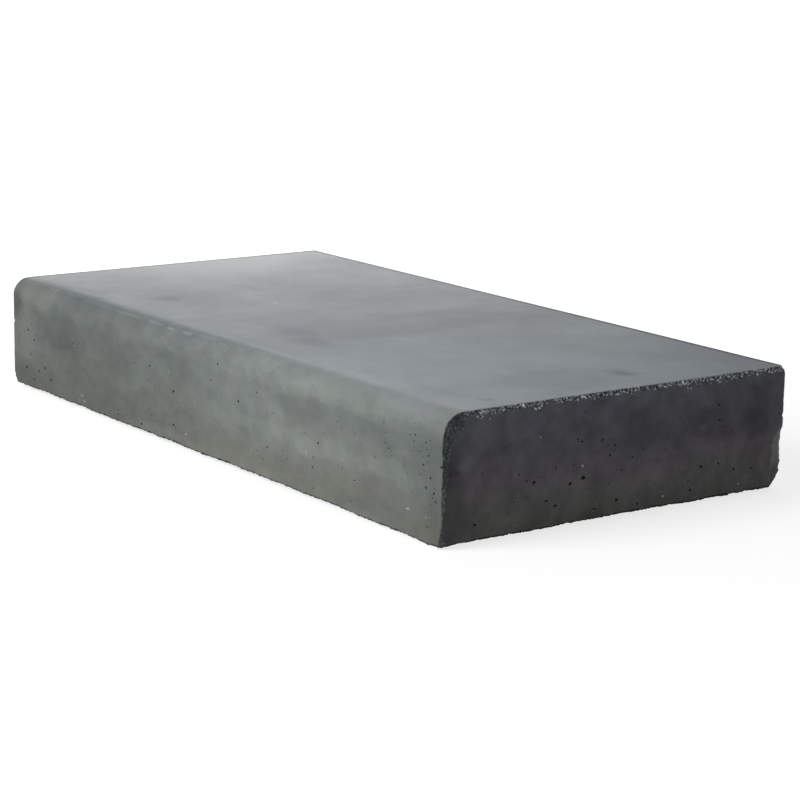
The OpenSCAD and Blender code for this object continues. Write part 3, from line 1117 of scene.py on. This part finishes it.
# Near black is a painted shade inside the hole; the pale colour on the upward-facing lower side, in
# patches, is a painted light.
lit_lower_side = {"Factor": painted_light_share, "A": linear("212221"), "B": linear("a0a09a")}
colour = add(tree, "Mix", lit_lower_side, data_type="RGBA")
end_finish(tree, colour, 0.92, here_or_there, 0.1, 0.2)
print(f"{bubble_wall.name}: {len(tree.nodes)} nodes")

# %% [markdown]
# ## Give each side its finish
#
# A face belongs to the side of the box that it lies nearest. Where a face is mostly broken, it
# is broken concrete on any side. One finish could pick the side in its nodes, but a finish for
# each face is easier to follow.

# %% Sort the faces
FRONT, BACK, TOP, BED, END = range(5)


def nearest_side(mesh):
    """Which side of the box each face lies nearest."""
    middles = np.empty(3 * len(mesh.polygons))
    mesh.polygons.foreach_get("center", middles)
    middles = middles.reshape(-1, 3) / MM
    *long_sides, end = past_faces(middles)
    sides = np.argmax(np.stack(long_sides), axis=0)
    return np.where(end > cross_section(middles), END, sides), middles


def mean_mask(mesh, kind):
    """The mean of a mask over each face's first three corners."""
    values = np.empty(len(mesh.vertices))
    mesh.attributes[kind].data.foreach_get("value", values)
    return np.array([values[list(face.vertices[:3])].mean() for face in mesh.polygons])


for finish in (steel_moulded, board_stopped, struck_off, old_break):
    block_mesh.materials.append(finish)
MOULDED, STOPPED, STRUCK, BROKEN = range(4)
MOSTLY = 0.5
sides, _ = nearest_side(block_mesh)
finish_numbers = np.select([sides == END, sides == BED], [STOPPED, STRUCK], MOULDED)
finish_numbers[mean_mask(block_mesh, "broken") > MOSTLY] = BROKEN
finish_numbers[(mean_mask(block_mesh, "ragged") > MOSTLY) & (sides == BED)] = BROKEN
block_mesh.polygons.foreach_set("material_index", finish_numbers.astype(np.int32))
print("faces with each finish:", np.bincount(finish_numbers).tolist())

# %% [markdown]
# ## Air bubbles
#
# Air that rises against a mould is trapped there as small round holes, called bug holes. Most are under 3
# mm wide. They are cut here as real hollows: a squashed ball is set in the surface for each one, and one
# Boolean takes them all out. The middle of a ball lies just outside the skin, so that no hole is wider
# inside than at its mouth. The largest are listed one by one and the rest fall at random, more of them low
# on the faces and on the ends.

# %% Bubbles listed one by one: across, up, width, all in millimetres
END_BUBBLES = (
    (-55, 55, 5.6), (-125, 59, 4.4), (-74, 51, 4.0), (-69, 71, 3.2), (-95, 72, 3.0), (-29, 94, 4.4),
    (-11, 86, 3.6), (-17, 76, 3.4), (-64, 100, 3.2), (-58, 97, 2.8), (-107, 35, 4.6), (-94, 28, 4.8),
    (-39, 16, 5.0), (-5, 23, 4.6), (1, 57, 2.6), (16, 70, 2.4), (66, 72, 2.4), (147, 96, 4.2),
    (145, 115, 3.0), (121, 45, 4.2), (148, 45, 3.6), (173, 35, 3.2), (201, 32, 4.4), (102, 30, 3.4),
    (106, 19, 3.6), (26, 14, 3.4), (-206, 23, 4.0), (-146, 70, 2.8), (-135, 62, 2.6), (30, 63, 2.4),
)
FRONT_BUBBLES = (
    (469, 113, 3.0), (474, 100, 2.8), (465, 88, 3.4), (478, 76, 2.8), (470, 64, 3.2), (484, 60, 3.2),
    (488, 52, 3.0), (449, 118, 2.4), (458, 101, 2.4), (-64, 71, 4.0), (89, 87, 3.6), (41, 124, 3.0),
    (25, 101, 2.6), (-123, 93, 2.8), (-325, 86, 3.8), (-296, 95, 2.6), (-461, 32, 4.4),
    (-439, 17, 4.2), (-408, 39, 3.8), (-390, 26, 3.2), (-145, 13, 4.2), (-64, 28, 3.2),
    (-438, 73, 3.6), (-455, 85, 4.0), (261, 71, 3.0), (335, 42, 3.0), (400, 93, 2.8), (145, 27, 3.2),
    (441, 117, 1.9), (447, 111, 1.7), (476, 117, 2.0), (474, 112, 1.8), (462, 108, 1.8), (470, 106, 2.0),
    (463, 96, 2.2), (472, 92, 1.8), (454, 94, 1.7), (466, 82, 1.9), (459, 76, 2.0), (445, 100, 1.8),
    (486, 66, 2.4), (482, 55, 2.0), (479, 46, 1.9), (452, 66, 1.7), (441, 84, 1.7), (436, 72, 1.6),
    (-476, 96, 2.6), (-467, 80, 2.4), (-445, 94, 2.4), (-431, 82, 2.2), (-484, 64, 2.6), (-448, 52, 2.2),
    (-425, 32, 3.0), (-418, 28, 2.2), (-489, 110, 2.4), (-440, 74, 2.0), (356, 113, 1.8),
    (390, 120, 1.8), (394, 110, 1.7), (393, 98, 1.9), (335, 97, 1.8), (406, 86, 1.9), (272, 84, 1.8),
    (264, 72, 1.8), (251, 52, 2.2), (234, 77, 1.8), (327, 17, 2.0), (375, 78, 1.6), (300, 104, 1.7),
)
print(f"{len(END_BUBBLES)} on the right end and {len(FRONT_BUBBLES)} on the front")

# %% Scatter the rest
dice = np.random.default_rng(17)


def scattered(count, half_width, low, high, smallest, largest, lean):
    """Random bubbles: more small ones than large, and more of them low down if lean is over 1."""
    across = dice.uniform(-half_width, half_width, count)
    up = low + (high - low) * dice.random(count) ** lean
    width = smallest + (largest - smallest) * dice.random(count) ** 3
    return np.stack([across, up, width], axis=1)


def bubbles_on(hand_placed, *rest):
    """The bubbles of one side, the listed ones first."""
    random_ones = scattered(*rest)
    return np.concatenate([np.array(hand_placed).reshape(-1, 3), random_ones])


EDGE = 14
bubbles = {
    "right end": bubbles_on(END_BUBBLES, 26, DEPTH / 2 - EDGE, EDGE, 132, 1.6, 2.8, 1.3),
    "left end": bubbles_on((), 60, DEPTH / 2 - EDGE, EDGE, 132, 1.8, 4.8, 1.3),
    "front": bubbles_on(FRONT_BUBBLES, 44, LENGTH / 2 - EDGE, EDGE, 140, 1.5, 2.8, 1.4),
    "back": bubbles_on((), 90, LENGTH / 2 - EDGE, EDGE, 138, 1.8, 4.2, 1.5),
    "tread": bubbles_on((), 26, LENGTH / 2 - EDGE, -205, 235, 1.6, 2.4, 1.0),
}
print({side: len(found) for side, found in bubbles.items()})

# %% Shape one cutter
RATHER_LARGE = 3.1
BALL_STRETCH, BALL_UNEVEN = 0.35, 0.4
# Of a bubble's width: half the depth of its ball, and how far the ball's middle lies outside
BALL_DEPTH, BALL_LIFT = 0.42, 0.12
ball_points = {}
for detail in (2, 3):
    ball = bmesh.new()
    bmesh.ops.create_icosphere(ball, subdivisions=detail, radius=1)
    ball_points[detail] = (
        np.array([point.co for point in ball.verts]),
        [[point.index for point in face.verts] for face in ball.faces],
    )
    ball.free()


def cutter(at, out, width, seed):
    """Points and faces of a squashed, slightly uneven ball that sits in the surface."""
    points, faces = ball_points[3 if width > RATHER_LARGE else 2]
    chance, other_chance = scatter(np.array([[seed, 1, 1], [seed, 2, 1]]), 91)
    facing = Vector(out).to_track_quat("Z", "Y") @ Quaternion((0, 0, 1), math.pi * other_chance)
    turn = np.array(facing.to_matrix())
    stretch = 1 + BALL_STRETCH * chance
    size = np.array([width / 2 * stretch, width / 2 / stretch, width * BALL_DEPTH])
    uneven = 1 + BALL_UNEVEN * cloud(points + seed * 5.0, 0.9, 92)
    shaped = points * size * uneven[:, None]
    shaped[:, 2] += BALL_LIFT * width
    return shaped @ turn.T + at, faces


print(f"a wide bubble's cutter has {len(ball_points[3][1])} faces")

# %% Set the cutters in the surface
def sight_line(side, across, up):
    """Where a line towards that place starts outside the block, and which way it goes."""
    away = 40
    starts = {
        "right end": ((LENGTH / 2 + away, across, up), (-1, 0, 0)),
        "left end": ((-LENGTH / 2 - away, across, up), (1, 0, 0)),
        "front": ((across, -DEPTH / 2 - away, up), (0, 1, 0)),
        "back": ((across, DEPTH / 2 + away, up), (0, -1, 0)),
        "tread": ((across, up, RISE + away), (0, 0, -1)),
    }
    start, way = starts[side]
    return Vector(start) * MM, Vector(way)


CLEARANCE = 0.8
skin_tree = BVHTree.FromPolygons((surface * MM).tolist(), skin_faces)
placed, cutter_points, cutter_faces, taken = [], [], [], 0
for side, found in bubbles.items():
    for across, up, width in found:
        at, out, _, _ = skin_tree.ray_cast(*sight_line(side, across, up))
        at = np.array(at) / MM
        if any(np.linalg.norm(at - other) < CLEARANCE * (width + wide) for other, wide in placed):
            continue
        points, faces = cutter(at, out, width, len(placed))
        placed.append((at, width))
        cutter_faces += [[corner + taken for corner in face] for face in faces]
        cutter_points.append(points)
        taken += len(points)
cutter_mesh = bpy.data.meshes.new("air_bubbles")
cutter_mesh.from_pydata((np.concatenate(cutter_points) * MM).tolist(), [], cutter_faces)
cutter_mesh.materials.append(bubble_wall)
for kind in masks:
    cutter_mesh.attributes.new(kind, "FLOAT", "POINT")
print(f"{len(placed)} bubbles, the widest {max(width for _, width in placed):.1f} mm")

# %% Take the bubbles out of the block
air_bubbles = bpy.data.objects.new("air_bubbles", cutter_mesh)
bpy.context.scene.collection.objects.link(air_bubbles)
cut = cast_block.modifiers.new("air bubbles", "BOOLEAN")
cut.operation = "DIFFERENCE"
cut.solver = "MANIFOLD"
cut.material_mode = "TRANSFER"
cut.object = air_bubbles
bpy.context.view_layer.update()
with_holes = cast_block.evaluated_get(bpy.context.evaluated_depsgraph_get())
worn = bpy.data.meshes.new_from_object(with_holes)
cast_block.modifiers.clear()
cast_block.data = worn
bpy.data.objects.remove(air_bubbles)
worn.name = "cast_block"
worn.calc_loop_triangles()
print(f"{len(worn.loop_triangles)} triangles and {[finish.name for finish in worn.materials]}")

# %% Smooth shading, with the rims of holes and breaks kept crisp
CRISP_ANGLE = math.radians(40)
worn.shade_smooth()
worn.set_sharp_from_angle(angle=CRISP_ANGLE)
sharp = worn.attributes.get("sharp_edge")
print(f"{sum(one.value for one in sharp.data) if sharp else 0} crisp edges")

# %% [markdown]
# ## Unfold the block
#
# A map of the surface lets the finishes be saved as pictures later. The block unfolds like a
# carton: tread and bed side by side, the long faces above them and the ends beside the bed.
# Every part keeps the same scale, so the sand is the same size on each.

# %% Lay each side out flat
GAP = 14
SHEET = LENGTH + 2 * RISE + 5 * GAP
LAYOUT = {
    TOP: (1, 0, GAP, GAP),
    BED: (1, 0, DEPTH + 2 * GAP, GAP),
    FRONT: (0, 2, GAP, LENGTH + 2 * GAP),
    BACK: (0, 2, GAP, LENGTH + RISE + 3 * GAP),
}
sides, middles = nearest_side(worn)
corner_points = np.empty(3 * len(worn.vertices))
worn.vertices.foreach_get("co", corner_points)
shifted = corner_points.reshape(-1, 3) / MM + (LENGTH / 2, DEPTH / 2, 0)
loop_points = np.empty(len(worn.loops), np.int32)
worn.loops.foreach_get("vertex_index", loop_points)
loop_totals = np.empty(len(worn.polygons), np.int32)
worn.polygons.foreach_get("loop_total", loop_totals)
loop_sides = np.repeat(sides, loop_totals)
loop_right = np.repeat(middles[:, 0] > 0, loop_totals)
flat = np.zeros((len(worn.loops), 2))
for side, (across, up, left, foot) in LAYOUT.items():
    here = loop_sides == side
    flat[here] = shifted[loop_points[here]][:, [across, up]] + (left, foot)
for right in (False, True):
    here = (loop_sides == END) & (loop_right == right)
    foot = GAP + right * (DEPTH + GAP)
    flat[here] = shifted[loop_points[here]][:, [2, 1]] + (2 * DEPTH + 3 * GAP, foot)
worn.uv_layers.new(name="OFBake").data.foreach_set("uv", (flat / SHEET).ravel())
print(f"the sheet is {flat.max(axis=0).round()} mm of {SHEET:.0f}")

# %% Say what the piece stands for
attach(cast_block, "root")
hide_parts("step_block")
print(f"{cast_block.name} is shown in the place of step_block")

# %% [markdown]
# ## The studio
#
# The floor is pale and plain. A wide panel stands low behind the left end, so that its light
# skims the tread and brings out the satin, brightest at the far left. A large soft box above the
# front lights the long face. Nothing stands to the right, so the near end stays in the shade,
# with only what the floor throws back. To the eye and in reflections the surroundings are white.

# %% The pale floor
FLOOR_SIZE = 30
FLOOR_DROP = 0.2 * MM
SEEN_GLOW, SEEN_PAINT, FLOOR_PAINT = 0.76, "a0a0a0", "c4c5c4"
GLOW_GROWS_FROM, GLOW_GROWS_TO = 0.6, 2.6


def seen_directly(tree):
    """1 for what the eye, a reflection or glass sees, and 0 for light that spreads."""
    path = add(tree, "LightPath").outputs
    seen = add(tree, "Math", {0: path["Is Camera Ray"], 1: path["Is Glossy Ray"]}, operation="MAXIMUM")
    return add(tree, "Math", {0: seen, 1: path["Is Transmission Ray"]}, operation="MAXIMUM")


pale_floor, tree, place = new_finish("pale_floor")
from_block = add(tree, "VectorMath", {0: place}, operation="LENGTH").outputs["Value"]
outwards = {"From Min": GLOW_GROWS_FROM, "From Max": GLOW_GROWS_TO, "To Min": SEEN_GLOW}
glow_strength = add(tree, "MapRange", {"Value": from_block, **outwards})
glow = add(tree, "Emission", {"Color": linear("ffffff"), "Strength": glow_strength})
seen_paint = add(tree, "BsdfDiffuse", {"Color": linear(SEEN_PAINT)})
bright = add(tree, "AddShader", {0: glow, 1: seen_paint})
paint = add(tree, "BsdfDiffuse", {"Color": linear(FLOOR_PAINT)})
floor_look = add(tree, "MixShader", {0: seen_directly(tree), 1: paint, 2: bright})
add(tree, "OutputMaterial", {"Surface": floor_look})

half = FLOOR_SIZE / 2
floor_mesh = bpy.data.meshes.new("floor")
floor_corners = [(-half, -half, -FLOOR_DROP), (half, -half, -FLOOR_DROP),
                 (half, half, -FLOOR_DROP), (-half, half, -FLOOR_DROP)]
floor_mesh.from_pydata(floor_corners, [], [(0, 1, 2, 3)])
floor_mesh.materials.append(pale_floor)
floor = bpy.data.objects.new("floor", floor_mesh)
bpy.context.scene.collection.objects.link(floor)
print(f"the floor is {FLOOR_SIZE} m wide")

# %% The lamps
LAMPS = (
    ("low_panel", (-1.6, 0.8, 0.7), (-0.2, 0.0, 0.15), (1.3, 0.8), 15.6),
    ("front_box", (-0.4, -3.0, 2.3), (-0.1, -0.1, 0.08), (1.7, 1.6), 108),
)
for name, stand, aim, size, watts in LAMPS:
    lamp = bpy.data.lights.new(name, "AREA")
    lamp.shape = "RECTANGLE"
    lamp.size, lamp.size_y = size
    lamp.energy = watts
    holder = bpy.data.objects.new(name, lamp)
    holder.location = stand
    holder.rotation_euler = (Vector(aim) - Vector(stand)).to_track_quat("-Z", "Y").to_euler()
    holder.visible_camera = False
    bpy.context.scene.collection.objects.link(holder)
    print(f"{name}: {watts} W, {(Vector(aim) - Vector(stand)).length:.1f} m away")

# %% The surroundings
AMBIENT = 0.22
world = bpy.data.worlds.new("studio")
bpy.context.scene.world = world
world.use_nodes = True
tree = world.node_tree
tree.nodes.clear()
seen = seen_directly(tree)
strength = add(tree, "MapRange", {"Value": seen, "To Min": AMBIENT, "To Max": 1.0})
around = add(tree, "Background", {"Color": linear("ffffff"), "Strength": strength})
add(tree, "OutputWorld", {"Surface": around})
bpy.context.scene.view_settings.view_transform = "Standard"
print(f"the surroundings give {AMBIENT} of white as light")
